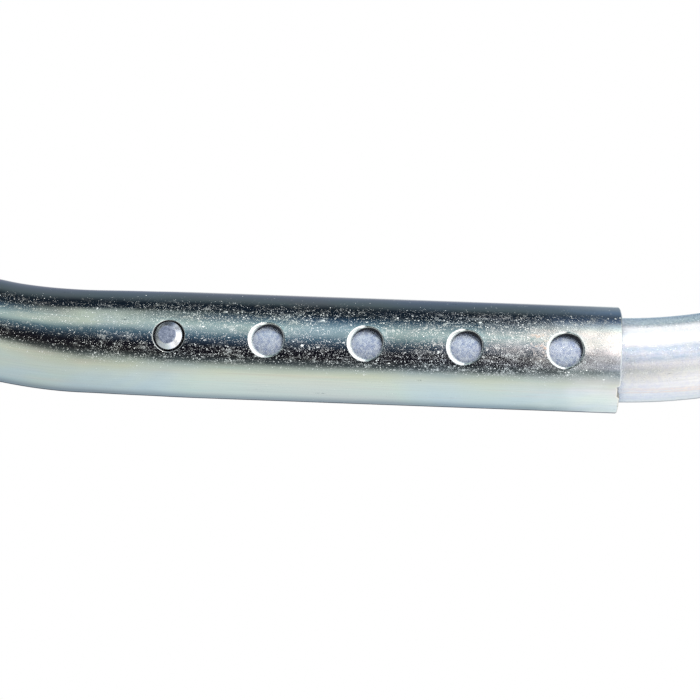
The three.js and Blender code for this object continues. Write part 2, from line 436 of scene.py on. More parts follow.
outer_line = Line(
    MOUTH_X, -1, [("run", 72.0 + MOUTH_X), ("arc", 139.0, 50.0), ("run", 69.5), ("arc", 65.0, 80.0), ("run", 32.0)],
    most=0.045,
    table=[(0, 0), (108.7, 0), (113.7, 0.003), (118.8, 0.0095), (123.8, 0.013), (128.9, 0.018), (134, 0.026),
           (141.5, 0.027), (149, 0.035), (156, 0.045)],
)
arc1 = 72.0 + MOUTH_X
len1 = 139.0 * 50 * RAD
arc2 = arc1 + len1 + 69.5
len2 = 65.0 * 80 * RAD
rows = [0.34, 0.8, 1.3, 2.0, 3.0, 4.2, 5.6, 7.0]
rows += rows_between(8.0, arc1, 2.6)
rows += rows_between(arc1, arc1 + len1, 2.2) + rows_between(arc1 + len1, arc2, 6.0)
rows += rows_between(arc2, arc2 + len2, 2.4) + rows_between(arc2 + len2, outer_line.length - 0.2, 5.0) + [outer_line.length - 0.2]
centres = [MOUTH_X - x for x in HOLES_X]
HALF = 11
rows, spans = hole_rows(rows, centres, 6.0, 2 * HALF)
ROUND = [0.34, 0.92, 0.88, 0.88, 0.66]
ROLL = [0.15, 0.42, 0.40, 0.38, 0.22]
RAGGED = [0.0, 0.02, 0.03, 0.04, 0.15]
RADII = [HOLE_R, HOLE_R - 0.05, HOLE_R, HOLE_R + 0.03, HOLE_R + 0.28]
outer_holes = [
    (spans[k][0], spans[k][1], HALF, centres[k], RADII[k], ROUND[k], RAGGED[k], k + 1, ROLL[k]) for k in range(5)
]
outer_tube = tube_mesh("outer_tube_skin", outer_line, OUTER_R, OUTER_BORE, rows, outer_holes, end_cut=outer_cut)

# ---- inner tube ---------------------------------------------------------------------------------------
INNER_START = -75.0
inner_line = Line(
    INNER_START, 1, [("run", 61.3 - INNER_START), ("arc", 139.0, 50.0), ("run", 69.5), ("arc", 65.0, 80.0), ("run", 32.0)],
    most=0.02,
)
b1 = 61.3 - INNER_START
l1 = 139.0 * 50 * RAD
b2 = b1 + l1 + 69.5
l2 = 65.0 * 80 * RAD
rows_i = rows_between(0.42, b1, 5.0) + rows_between(b1, b1 + l1, 2.6) + rows_between(b1 + l1, b2, 6.0)
rows_i += rows_between(b2, b2 + l2, 2.4) + rows_between(b2 + l2, inner_line.length - 0.2, 5.0) + [inner_line.length - 0.2]
pin_dir = np.array([-math.sin(LEAN), -math.cos(LEAN), 0.0])
pin_origin = np.array([HOLES_X[0], PIN_Y, AXIS_Z])
inner_mid = -(INNER_R + INNER_BORE) / 2
inner_hole_x = (pin_origin + pin_dir * ((inner_mid - PIN_Y) / pin_dir[1]))[0]
rows_i, span_i = hole_rows(rows_i, [inner_hole_x - INNER_START], 6.6, 2 * 14)
inner_tube = tube_mesh(
    "inner_tube_skin", inner_line, INNER_R, INNER_BORE, rows_i,
    [(span_i[0][0], span_i[0][1], 14, inner_hole_x - INNER_START, INNER_HOLE_R, 0.35, 0.0, 9, 0.0)],
)


# ---- turned and moulded pieces ------------------------------------------------------------------------
def basis(axis):
    axis = np.array(axis, float) / np.linalg.norm(axis)
    side = np.cross(axis, [0, 0, 1.0])
    if np.linalg.norm(side) < 1e-3:
        side = np.array([1.0, 0, 0])
    side /= np.linalg.norm(side)
    other = np.cross(axis, side)
    return axis, side, other


def turned(name, origin, axis, profile, n, change=None):
    """A closed surface of revolution. profile: (radius, height) from axis to axis. change(r, t, a)
    may move a point in (r, t)."""
    b = Builder()
    axis, side, other = basis(axis)
    loops = []
    for k, (r, t) in enumerate(profile):
        if r < 1e-6:
            loops.append([b.vert(origin + axis * t, (0.0, 0.0, t))] * n)
            continue
        loop = []
        for j in range(n):
            a = 2 * math.pi * j / n
            rr, tt = change(r, t, a) if change else (r, t)
            p = origin + axis * tt + side * (rr * math.cos(a)) + other * (rr * math.sin(a))
            loop.append(b.vert(p, (rr * math.cos(a), rr * math.sin(a), tt)))
        loops.append(loop)
    for one, two in zip(loops, loops[1:]):
        b.ribbon(one, two)
    return b.make(name)


def fillet(points, radii, steps=4):
    """Rounds the corners of a profile: radii[i] is the round at points[i], 0 for a sharp corner."""
    out = []
    for i, p in enumerate(points):
        r = radii[i]
        if r <= 0 or i in (0, len(points) - 1):
            out.append(tuple(p))
            continue
        p = np.array(p, float)
        a = np.array(points[i - 1], float) - p
        c = np.array(points[i + 1], float) - p
        la, lc = np.linalg.norm(a), np.linalg.norm(c)
        a, c = a / la, c / lc
        angle = math.acos(max(-1, min(1, float(a @ c))))
        d = min(r / math.tan(angle / 2), la * 0.45, lc * 0.45)
        s, e = p + a * d, p + c * d
        for k in range(steps + 1):
            t = k / steps
            out.append(tuple((1 - t) ** 2 * s + 2 * t * (1 - t) * p + t * t * e))
    return out


# The pin: heights along its own axis from the middle of the outer wall, outwards positive.
button_points = [
    (0, -7.35), (1.7, -7.35), (2.5, -6.95), (2.5, -6.6), (1.5, -6.55), (1.5, -5.4), (4.4, -5.4), (4.4, -4.6),
    (3.55, -4.6), (3.55, 1.2), (2.12, 2.78), (0, 2.85),
]
button_round = [0, 0.5, 0.3, 0.1, 0.05, 0.1, 0.12, 0.12, 0.15, 0.42, 0.36, 0]
profile = fillet(button_points, button_round, 5)
# extra rings on the top and the chamfer, so that the tool marks and dents have somewhere to sit
dense = []
for p, q in zip(profile, profile[1:]):
    dense.append(p)
    length = math.hypot(q[0] - p[0], q[1] - p[1])
    if p[1] > 0.9 and length > 0.2:
        m = int(length / 0.16)
        dense += [(p[0] + (q[0] - p[0]) * k / (m + 1), p[1] + (q[1] - p[1]) * k / (m + 1)) for k in range(1, m + 1)]
dense.append(profile[-1])


def worn_button(r, t, a):
    if t > 1.0:
        up = smooth(1.0, 2.4, t)
        x, y = r * math.cos(a), r * math.sin(a)
        t += up * 0.045 * noise.noise(Vector((x * 0.9, y * 0.9, 3.0)))
        t += up * 0.018 * noise.noise(Vector((x * 3.1, y * 3.1, 8.0)))
        r *= 1 + up * 0.02 * wobble(41, a, 1.4)
    return r, t


lock_button = turned("lock_button_pin", pin_origin, pin_dir, dense, 96, worn_button)


# ---- spring clip: one folded strip, its front leg pierced for the pin's stem --------------------------
CLIP_T, CLIP_W, CLIP_CORNER = 0.8, 9.0, 0.22
LEG_MID = -5.9
pin_foot = pin_origin + pin_dir * LEG_MID
leg = np.array([math.cos(LEAN), -math.sin(LEAN)])
foot2 = np.array([pin_foot[0], pin_foot[1]])
front_tip = foot2 + leg * 4.6
front_end = foot2 - leg * 21.2
FOLD_R = 2.4
fold_c = np.array([front_end[0] + math.sin(LEAN) * FOLD_R, front_end[1] + math.cos(LEAN) * FOLD_R])
rear_tip = np.array([-44.5, 7.5])
to_tip = rear_tip - fold_c
rear_angle = math.atan2(to_tip[1], to_tip[0]) - math.asin(FOLD_R / np.linalg.norm(to_tip))
f0 = math.atan2(front_end[1] - fold_c[1], front_end[0] - fold_c[0])
f1 = rear_angle + math.pi / 2
while f1 > f0:
    f1 -= 2 * math.pi


def clip_mesh():
    # stations: (point, direction of travel, from the front tip round the fold to the rear tip)
    st = []
    hole_u = 4.6  # the pin's stem, from the front tip
    front_len = float(np.linalg.norm(front_end - front_tip))
    u_list = [0.0, 0.2, 0.5, 1.0]
    u_list += [hole_u - 2.8 + 5.6 * k / 12 for k in range(13)]
    u_list += [8.6, 10.5, 13, 16, 19, 22, front_len - 1.2]
    for u in u_list:
        st.append((front_tip + (front_end - front_tip) * (u / front_len), (front_end - front_tip) / front_len))
    i0 = 4
    i1 = i0 + 12
    steps = 26
    for k in range(steps + 1):
        a = f0 + (f1 - f0) * k / steps
        p = fold_c + FOLD_R * np.array([math.cos(a), math.sin(a)])
        d = np.array([math.sin(a), -math.cos(a)])
        st.append((p, d))
    start = st[-1][0]
    d = (rear_tip - start) / np.linalg.norm(rear_tip - start)
    total = float(np.linalg.norm(rear_tip - start))
    for u in (2, 5, 9, 13, 17, 21, total - 1.6, total - 0.7, total - 0.2, total):
        if 0 < u <= total:
            # the last millimetres curl in, so that the end doesn't dig into the wall
            curl = smooth(total - 3.2, total, u)
            n_in = np.array([d[1], -d[0]])
            st.append((start + d * u + n_in * 0.45 * curl * curl, d))
    b = Builder()
    half_w = CLIP_W / 2
    cols = 18
    # cross-section: front face left to right, corner, edge, corner, back face right to left, ...
    section = []
    for k in range(cols + 1):
        section.append((-half_w + CLIP_CORNER + (CLIP_W - 2 * CLIP_CORNER) * k / cols, CLIP_T / 2))
    for k in (1, 2, 3):
        a = math.pi / 2 * (1 - k / 3)
        section.append((half_w - CLIP_CORNER + CLIP_CORNER * math.cos(a), CLIP_T / 2 - CLIP_CORNER + CLIP_CORNER * math.sin(a)))
    for k in (0, 1, 2):
        a = -math.pi / 2 * (k / 3)
        section.append((half_w - CLIP_CORNER + CLIP_CORNER * math.cos(a), -CLIP_T / 2 + CLIP_CORNER + CLIP_CORNER * math.sin(a)))
    back0 = len(section)
    for k in range(cols + 1):
        section.append((half_w - CLIP_CORNER - (CLIP_W - 2 * CLIP_CORNER) * k / cols, -CLIP_T / 2))
    for k in (1, 2, 3):
        a = math.pi / 2 * (k / 3)
        section.append((-half_w + CLIP_CORNER - CLIP_CORNER * math.sin(a), -CLIP_T / 2 + CLIP_CORNER - CLIP_CORNER * math.cos(a)))
    for k in (0, 1, 2):
        a = math.pi / 2 * (k / 3)
        section.append((-half_w + CLIP_CORNER - CLIP_CORNER * math.cos(a), CLIP_T / 2 - CLIP_CORNER + CLIP_CORNER * math.sin(a)))
    m = len(section)
    c0, c1 = 4, 14  # columns of the pierced square on the front face
    d0, d1 = back0 + cols - c1, back0 + cols - c0

    def spot(i, v, h, squeeze=1.0):
        p, d = st[i]
        out = np.array([d[1], -d[0]])  # away from the other leg on the front leg
        if out[1] > 0 and i < len(u_list):
            out = -out
        q = p + OUT[i] * h
        return np.array([q[0], q[1], AXIS_Z + v * squeeze])

    OUT = []
    prev = None
    for p, d in st:
        o = np.array([d[1], -d[0]])
        if prev is None:
            o = o if o[1] < 0 else -o
        elif float(o @ prev) < 0:
            o = -o
        OUT.append(o)
        prev = o
    arc = [0.0]
    for k in range(1, len(st)):
        arc.append(arc[-1] + float(np.linalg.norm(st[k][0] - st[k - 1][0])))
    grid = {}
    for i in range(len(st)):
        end = min(arc[i], arc[-1] - arc[i])
        squeeze = 1.0 if end > 1.0 else 0.86 + 0.14 * math.sqrt(max(0.0, 1 - (1 - end) ** 2))
        thin = 1.0 if end > 0.25 else 0.72
        for j, (v, h) in enumerate(section):
            if i0 < i < i1 and (c0 < j < c1 or d0 < j < d1):
                continue
            grid[(i, j)] = b.vert(spot(i, v, h * thin, squeeze), (arc[i], v, h))
    for i in range(len(st) - 1):
        for j in range(m):
            if i0 <= i < i1 and (c0 <= j < c1 or d0 <= j < d1):
                continue
            b.quad(grid[(i, j)], grid[(i, (j + 1) % m)], grid[(i + 1, (j + 1) % m)], grid[(i + 1, j)])
    for i in (0, len(st) - 1):
        c = b.vert(spot(i, 0, 0), (arc[i], 0, 0))
        for j in range(m):
            b.faces.append([grid[(i, j)], grid[(i, (j + 1) % m)], c])

    def pierced(a0, a1, h, flip):
        edge = [(i0, j) for j in range(a0, a1)] + [(i, a1) for i in range(i0, i1)]
        edge += [(i1, j) for j in range(a1, a0, -1)] + [(i, a0) for i in range(i1, i0, -1)]
        pts = []
        for i, j in edge:
            u, v = arc[i] - hole_u, section[j % m][0]
            pts.append((u, v, math.atan2(v, u)))
        loops = [[grid[(i, j)] for i, j in edge]]
        for t in (0.4, 0.75, 1.0):
            loop = []
            for u, v, a in pts:
                uu, vv = u + (1.75 * math.cos(a) - u) * t, v + (1.75 * math.sin(a) - v) * t
                q = front_tip + (front_end - front_tip) * ((uu + hole_u) / front_len) + OUT[i0] * h
                loop.append(b.vert(np.array([q[0], q[1], AXIS_Z + vv]), (uu + hole_u, vv, h)))
            loops.append(loop)
        for one, two in zip(loops, loops[1:]):
            b.ribbon(one, two)
        return loops[-1], [p[2] for p in pts]

    top, ta = pierced(c0, c1, CLIP_T / 2, False)
    low, la = pierced(d0, d1, -CLIP_T / 2, True)
    match = []
    for a in ta:
        match.append(low[min(range(len(la)), key=lambda k: abs(math.remainder(la[k] - a, 2 * math.pi)))])
    b.ribbon(top, match)
    return b.make("spring_clip_strip")


spring_clip = clip_mesh()


# ---- rubber tips ---------------------------------------------------------------------------------------
def rubber_tip(name, line, tube_r, r, grip, wall, face, lip):
    end, _up, axis = line.at(line.length)
    bore = tube_r + 0.04
    pts, rad = [(0, 0.3), (bore, 0.3), (bore, -grip + 1.0), (bore + 0.5, -grip)], [0, 0.3, 0.3, 0.25]
    pts += [(lip, -grip), (r - 0.35, -grip + 1.4)]
    rad += [0.5, 0.6]
    # three shallow grip grooves round the skirt
    z = -grip + 5.0
    pts.append((r, -grip + 3.2))
    rad.append(0.6)
    for _k in range(3):
        pts += [(r, z), (r - 0.75, z + 0.7), (r - 0.75, z + 1.5), (r, z + 2.2)]
        rad += [0.4, 0.35, 0.35, 0.4]
        z += 4.4
    pts += [(r, wall - (r - face) * 0.75), (r - (r - face) * 0.3, wall - (r - face) * 0.12), (face, wall)]
    rad += [2.2, 2.0, 0.9]
    # two shallow rings in the flat end
    for g in (0.72, 0.38):
        rr = face * g
        pts += [(rr + 0.75, wall), (rr + 0.4, wall - 0.5), (rr - 0.4, wall - 0.5), (rr - 0.75, wall)]
        rad += [0.2, 0.25, 0.25, 0.2]
    pts.append((0, wall))
    rad.append(0)
    prof = fillet(pts, rad, 5)

    def mould(rr, tt, a):
        # the mould's parting line runs down two sides of the skirt
        if rr > bore + 1.2 and tt < wall - 0.6:
            d = min(abs(math.remainder(a, math.pi)), 9)
            rr += 0.10 * math.exp(-((d / 0.022) ** 2))
            rr *= 1 + 0.0035 * wobble(len(name), a, 1.1)
        return rr, tt

    return turned(name, end, axis, prof, 160, mould)


outer_cap = rubber_tip("outer_tip_rubber", outer_line, OUTER_R, 16.3, 29.0, 7.0, 11.5, 15.1)
inner_cap = rubber_tip("inner_tip_rubber", inner_line, INNER_R, 13.9, 27.0, 7.0, 9.5, 12.7)


# ---- materials -----------------------------------------------------------------------------------------
class Nodes:
    def __init__(self, name):
        self.mat = bpy.data.materials.new(name)
        self.mat.use_nodes = True
        self.t = self.mat.node_tree
        self.t.nodes.clear()
        self.x = 0

    def add(self, kind, **props):
        node = self.t.nodes.new(kind)
        self.x += 160
        node.location = (self.x, 0)
        for k, v in props.items():
            setattr(node, k, v)
        return node

    def link(self, a, b):
        self.t.links.new(a, b)

    def feed(self, socket, value):
        if isinstance(value, bpy.types.NodeSocket):
            self.link(value, socket)
        elif isinstance(value, (tuple, list)) and len(value) == 3 and len(socket.default_value) == 4:
            socket.default_value = (*value, 1.0)
        else:
            socket.default_value = value

    def math(self, op, a, b=None, c=None, clamp=False):
        n = self.add("ShaderNodeMath", operation=op, use_clamp=clamp)
        self.feed(n.inputs[0], a)
        if b is not None:
            self.feed(n.inputs[1], b)
        if c is not None:
            self.feed(n.inputs[2], c)
        return n.outputs[0]

    def vmath(self, op, a, b):
        n = self.add("ShaderNodeVectorMath", operation=op)
        self.feed(n.inputs[0], a)
        self.feed(n.inputs[1], b)
        return n.outputs[0]

    def noise(self, vec, scale, detail=3.0, rough=0.5, distort=0.0):
        n = self.add("ShaderNodeTexNoise", noise_dimensions="3D")
        self.feed(n.inputs["Vector"], vec)
        n.inputs["Scale"].default_value = scale
        n.inputs["Detail"].default_value = detail
        n.inputs["Roughness"].default_value = rough
        n.inputs["Distortion"].default_value = distort
        return n

    def voronoi(self, vec, scale, randomness=1.0):
        n = self.add("ShaderNodeTexVoronoi", voronoi_dimensions="3D", feature="F1")
        self.feed(n.inputs["Vector"], vec)
        n.inputs["Scale"].default_value = scale
        n.inputs["Randomness"].default_value = randomness
        return n

    def ramp(self, fac, stops, mode="LINEAR"):
        n = self.add("ShaderNodeValToRGB")
        n.color_ramp.interpolation = mode
        e = n.color_ramp.elements
        while len(e) < len(stops):
            e.new(0.5)
        for k, (pos, col) in enumerate(stops):
            e[k].position = pos
            e[k].color = (*col, 1.0) if isinstance(col, tuple) else (col, col, col, 1.0)
        self.feed(n.inputs[0], fac)
        return n.outputs[0]

    def span(self, v, a, b, lo=0.0, hi=1.0, smoothed=True):
        n = self.add("ShaderNodeMapRange", interpolation_type="SMOOTHSTEP" if smoothed else "LINEAR")
        self.feed(n.inputs["Value"], v)
        self.feed(n.inputs["From Min"], a)
        self.feed(n.inputs["From Max"], b)
        self.feed(n.inputs["To Min"], lo)
        self.feed(n.inputs["To Max"], hi)
        return n.outputs[0]

    def mix(self, fac, a, b, mode="MIX"):
        n = self.add("ShaderNodeMix", data_type="RGBA", blend_type=mode)
        self.feed(n.inputs[0], fac)
        self.feed(n.inputs[6], a)
        self.feed(n.inputs[7], b)
        return n.outputs[2]

    def attribute(self, name):
        return self.add("ShaderNodeAttribute", attribute_name=name)

    def bump(self, height, distance, strength=1.0, normal=None):
        n = self.add("ShaderNodeBump")
        self.feed(n.inputs["Height"], height)
        n.inputs["Distance"].default_value = distance
        n.inputs["Strength"].default_value = strength
        if normal is not None:
            self.link(normal, n.inputs["Normal"])
        return n.outputs["Normal"]

    def surface(self, color, metallic, roughness, normal=None, **more):
        p = self.add("ShaderNodeBsdfPrincipled")
        self.feed(p.inputs["Base Color"], color)
        self.feed(p.inputs["Metallic"], metallic)
        self.feed(p.inputs["Roughness"], roughness)
        if normal is not None:
            self.link(normal, p.inputs["Normal"])
        for k, v in more.items():
            self.feed(p.inputs[k.replace("_", " ")], v)
        o = self.add("ShaderNodeOutputMaterial")
        self.link(p.outputs[0], o.inputs["Surface"])
        return self.mat


def scaled(m, vec, x, y, z):
    return m.vmath("MULTIPLY", vec, (x, y, z))


def zinc(name, base_stops, speck_amount, bloom_amount, rough, streak_tint, along_stops, metallic=1.0, rust_at=None, mottle=0.0, covered=0.0):
    m = Nodes(name)
    p = m.attribute("tube").outputs["Vector"]
    rim = m.attribute("rim").outputs["Fac"]
    # slow passivation tints, drawn out along the tube
    slow = m.noise(scaled(m, p, 0.022, 0.06, 0.06), 1.0, 3.0, 0.55, 0.6).outputs["Fac"]
    tint = m.ramp(slow, base_stops)
    streaks = m.noise(scaled(m, p, 0.018, 0.42, 0.42), 1.0, 4.0, 0.6, 0.2).outputs["Fac"]
    tint = m.mix(m.span(streaks, 0.52, 0.72, 0.0, streak_tint), tint, (0.90, 0.72, 0.66))
    streaks2 = m.noise(scaled(m, p, 0.022, 0.50, 0.50), 1.3, 4.0, 0.6, 0.2).outputs["Fac"]
    tint = m.mix(m.span(streaks2, 0.55, 0.75, 0.0, streak_tint), tint, (0.66, 0.86, 0.84))
    # fine drawn lines
    fine = m.noise(scaled(m, p, 0.05, 5.0, 5.0), 1.0, 4.0, 0.65).outputs["Fac"]
    tint = m.mix(m.span(fine, 0.35, 0.7, 0.0, 0.16), tint, (0.42, 0.46, 0.50))
    # a few short dark dashes
    dash = m.voronoi(scaled(m, p, 0.12, 0.62, 0.62), 1.0)
    dash_on = m.math("LESS_THAN", m.add_sep(dash.outputs["Color"], 0), 0.13)
    dash_m = m.math("MULTIPLY", m.span(dash.outputs["Distance"], 0.20, 0.08), dash_on)
    breakup = m.span(m.noise(p, 2.3, 3.0, 0.6).outputs["Fac"], 0.45, 0.6)
    dash_m = m.math("MULTIPLY", dash_m, breakup)
    tint = m.mix(m.math("MULTIPLY", dash_m, 0.8), tint, (0.16, 0.18, 0.21))

    # where the white specks gather: the front, thickest between the button and the third hole
    front = m.math("MULTIPLY", m.span(m.add_sep(p, 1), 3.0, 9.0), m.span(m.add_sep(p, 2), 10.6, 7.4))
    front = m.math("MULTIPLY", front, m.span(m.add_sep(p, 2), -8.4, -5.2))
    crowd = m.noise(scaled(m, p, 0.075, 0.16, 0.16), 1.0, 3.0, 0.62, 0.4).outputs["Fac"]
    crowd = m.span(crowd, 0.34, 0.64)
    crowd = m.math("MAXIMUM", crowd, m.span(m.add_sep(p, 0), 52.0, 40.0, 0.0, 0.85))
    along = m.ramp(m.math("MULTIPLY", m.add_sep(p, 0), 1 / 200.0), along_stops)
    density = m.math("MULTIPLY", m.math("MULTIPLY_ADD", crowd, 0.60, 0.40), m.math("MULTIPLY_ADD", front, 0.965, 0.035))
    density = m.math("MULTIPLY", density, along)
    # specks: four sizes, warped so that none is round
    warp = m.noise(p, 2.1, 3.0, 0.65).outputs["Color"]
    warp = m.vmath("SCALE", m.vmath("SUBTRACT", warp, (0.5, 0.5, 0.5)), (0, 0, 0))
    warp.node.inputs["Scale"].default_value = 0.42
    q = m.vmath("ADD", p, warp)
    masks = []
    for scale, low, high, share in ((0.75, 0.09, 0.30, 0.13), (1.45, 0.12, 0.38, 0.40), (2.5, 0.16, 0.46, 0.80), (4.2, 0.2, 0.5, 0.85)):
        v = m.voronoi(scaled(m, q, 0.78, 1.0, 1.0), scale)
        r = m.add_sep(v.outputs["Color"], 0)
        g = m.add_sep(v.outputs["Color"], 1)
        size = m.math("MULTIPLY_ADD", m.math("MULTIPLY", r, r), high - low, low)
        edge = m.math("MULTIPLY", size, 0.62)
        spot = m.span(v.outputs["Distance"], size, edge)
        on = m.math("LESS_THAN", g, m.math("MULTIPLY", density, share))
        strength = m.add_sep(v.outputs["Color"], 2)
        strength = m.math("MULTIPLY_ADD", m.math("POWER", strength, 1.8), 0.80, 0.12)
        masks.append(m.math("MULTIPLY", m.math("MULTIPLY", spot, on), strength))
    specks = m.math("MAXIMUM", m.math("MAXIMUM", masks[0], masks[1]), m.math("MAXIMUM", masks[2], masks[3]))
    specks = m.math("MULTIPLY", specks, speck_amount, clamp=True)
    # bloom: small ragged scuffs only where specks are thick
    cloud = m.noise(scaled(m, q, 0.30, 0.55, 0.55), 1.0, 7.0, 0.72, 0.3).outputs["Fac"]
    bloom = m.math("MULTIPLY", m.span(cloud, 0.52, 0.68), density)
    grain = m.noise(q, 1.9, 5.0, 0.75).outputs["Fac"]
    bloom = m.math("MULTIPLY", bloom, m.span(grain, 0.44, 0.62))
    scuff = m.noise(scaled(m, q, 0.22, 2.4, 2.4), 1.0, 5.0, 0.7).outputs["Fac"]
    scuff = m.math("MULTIPLY", m.span(scuff, 0.60, 0.70), density)
    bloom = m.math("MULTIPLY", m.math("ADD", bloom, m.math("MULTIPLY", scuff, 0.35)), bloom_amount, clamp=True)
    white = m.math("ADD", specks, m.math("MULTIPLY", bloom, 0.8), clamp=True)
    haze = m.noise(scaled(m, p, 0.04, 0.09, 0.09), 1.0, 5.0, 0.6).outputs["Fac"]

    halo = m.span(rim, 0.25, 1.0)
    tint = m.mix(m.math("MULTIPLY", halo, 0.55), tint, (0.80, 0.90, 0.86))
    if mottle:
        mot = m.noise(p, 0.9, 6.0, 0.72).outputs["Fac"]
        tint = m.mix(m.span(mot, 0.42, 0.62, 0.0, mottle), tint, (0.60, 0.64, 0.86))
    color = m.mix(m.math("MULTIPLY", bloom, 0.8), tint, (0.50, 0.60, 0.60))
    color = m.mix(specks, color, (0.82, 0.86, 0.85))
    if rust_at is not None:
        away = m.add("ShaderNodeVectorMath", operation="DISTANCE")
        m.feed(away.inputs[0], q)
        away.inputs[1].default_value = rust_at
        near = m.span(away.outputs["Value"], 5.5, 1.0)
        spot = m.span(m.noise(p, 0.8, 5.0, 0.7).outputs["Fac"], 0.50, 0.68)
        rust = m.math("MULTIPLY", near, spot)
        color = m.mix(m.math("MULTIPLY", rust, 0.75), color, (0.48, 0.22, 0.09))
        white = m.math("MAXIMUM", white, m.math("MULTIPLY", rust, 0.8))

    # painted highlight: where 'rim' rises above 1, on the left of the punched rims, the zinc is painted pale and given
    # less metal
    painted_rim_highlight = m.span(rim, 1.15, 1.85)
    color = m.mix(m.math("MULTIPLY", painted_rim_highlight, 0.8), color, (0.76, 0.80, 0.79))
    if covered:
        # painted reflections on the inner tube outside the mouth: bands at fixed heights round the tube, a white
        # highlight band on the upper half (less metallic too), a violet band through the middle, a cyan tint and a
        # darker top edge, a warmer lower side and dark mottling high up
        out = m.span(m.add_sep(p, 0), covered - 2.0, covered + 2.0)
        z = m.add_sep(p, 2)
        patchy = m.span(m.noise(scaled(m, p, 0.35, 0.8, 0.8), 1.0, 6.0, 0.75).outputs["Fac"], 0.34, 0.60, 0.55, 1.0)
        film = m.math("MULTIPLY", m.span(z, 5.5, 7.5), out)
        painted_highlight_band = m.math("MULTIPLY", m.math("MULTIPLY", m.span(z, 8.0, 6.6), m.span(z, 1.6, 3.4)), out)
        color = m.mix(painted_highlight_band, color, (0.97, 0.985, 1.0))
        violet = m.math("MULTIPLY", m.span(z, 2.5, 1.0), m.span(z, -3.0, -1.3))
        violet = m.math("MULTIPLY", m.math("MULTIPLY", violet, patchy), out)
        color = m.mix(violet, color, (0.64, 0.76, 0.86), mode="MULTIPLY")
        color = m.mix(m.math("MULTIPLY", m.span(z, 6.8, 8.6), out), color, (0.84, 0.97, 1.0), mode="MULTIPLY")
        color = m.mix(m.math("MULTIPLY", m.span(z, 8.8, 10.8), out), color, (0.60, 0.72, 0.80), mode="MULTIPLY")
        low = m.math("MULTIPLY", m.span(z, -2.2, -4.2), out)
        color = m.mix(low, color, (0.93, 0.90, 0.87), mode="MULTIPLY")
        painted_band_mottle = m.span(m.noise(p, 1.6, 6.0, 0.78).outputs["Fac"], 0.51, 0.60)
        painted_band_mottle = m.math("MULTIPLY", painted_band_mottle, m.math("MULTIPLY", m.span(z, 6.0, 8.0), out))
        color = m.mix(m.math("MULTIPLY", painted_band_mottle, 0.8), color, (0.33, 0.42, 0.50), mode="MULTIPLY")
    # painted shade: 'wall' turns the hole walls, the lower part of the rims' rounds and the cut ends near black and
    # dull
    wall = m.attribute("wall").outputs["Fac"]
    color = m.mix(wall, color, (0.028, 0.030, 0.036))
    metal = m.math("MULTIPLY", m.math("SUBTRACT", 1.0, m.math("MULTIPLY", white, 0.86)), metallic)
    metal = m.math("MULTIPLY", metal, m.math("SUBTRACT", 1.0, m.math("MULTIPLY", wall, 0.93)))
    metal = m.math("MULTIPLY", metal, m.math("SUBTRACT", 1.0, m.math("MULTIPLY", painted_rim_highlight, 0.62)))
    if covered:
        metal = m.math("MULTIPLY", metal, m.math("SUBTRACT", 1.0, m.math("MULTIPLY", film, 0.30)))
        metal = m.math("MULTIPLY", metal, m.math("SUBTRACT", 1.0, m.math("MULTIPLY", painted_highlight_band, 0.50)))
        # painted reflection: under the mouth, where the holes show it, the inner tube is given a dull blue colour and
        # half its metal, standing in for the bluish sheen there
        under = m.span(m.add_sep(p, 0), covered + 2.0, covered - 2.0)
        metal = m.math("MULTIPLY", metal, m.math("SUBTRACT", 1.0, m.math("MULTIPLY", under, 0.50)))
        cells = m.noise(p, 1.25, 5.0, 0.72).outputs["Fac"]
        blue = m.mix(m.span(cells, 0.38, 0.60), (0.21, 0.275, 0.43), (0.48, 0.545, 0.63))
        color = m.mix(m.math("MULTIPLY", under, 0.88), color, blue)
    r = m.math("MULTIPLY_ADD", m.span(haze, 0.35, 0.7), 0.045, rough)
    r = m.math("MULTIPLY_ADD", m.span(fine, 0.3, 0.7), 0.04, r)
    r = m.math("MULTIPLY_ADD", m.math("MAXIMUM", white, wall), 0.34, r, clamp=True)
    # relief: slow dents, drawn lines, then crusty specks
    dents = m.noise(scaled(m, p, 0.05, 0.11, 0.11), 1.0, 2.0, 0.5).outputs["Fac"]
    n = m.bump(dents, 0.00014)
    n = m.bump(fine, 0.0000045, normal=n)
    n = m.bump(m.math("ADD", white, m.math("MULTIPLY", m.noise(p, 3.2, 4.0, 0.7).outputs["Fac"], 0.25)), 0.000011, normal=n)
    return m.surface(color, metal, r, n, Specular_IOR_Level=m.math("MULTIPLY_ADD", wall, -0.46, 0.5))


def add_sep(self, vec, k):
    n = self.add("ShaderNodeSeparateXYZ")
    self.feed(n.inputs[0], vec)
    return n.outputs[k]


Nodes.add_sep = add_sep

ZINC_TINTS = [(0.30, (0.66, 0.73, 0.80)), (0.44, (0.76, 0.80, 0.80)), (0.56, (0.80, 0.82, 0.74)), (0.70, (0.84, 0.78, 0.72))]
zinc_outer = zinc(
    "zinc_outer", ZINC_TINTS, 0.95, 0.85, 0.05, 0.28,
    [(0.0, 0.65), (0.03, 0.85), (0.10, 0.95), (0.25, 0.95), (0.58, 1.0), (0.66, 0.85), (0.75, 0.5), (1.0, 0.3)],
    rust_at=(MOUTH_X - HOLES_X[4] + 5.6, 13.2, 1.6),
)
zinc_inner = zinc(
    "zinc_inner",
    [(0.30, (0.80, 0.86, 0.91)), (0.45, (0.88, 0.90, 0.92)), (0.58, (0.90, 0.91, 0.90)), (0.72, (0.95, 0.89, 0.89))],
    0.55, 0.8, 0.19, 0.60, [(0.0, 0.8), (1.0, 0.8)], metallic=0.90, mottle=0.25, covered=MOUTH_X - INNER_START,
)


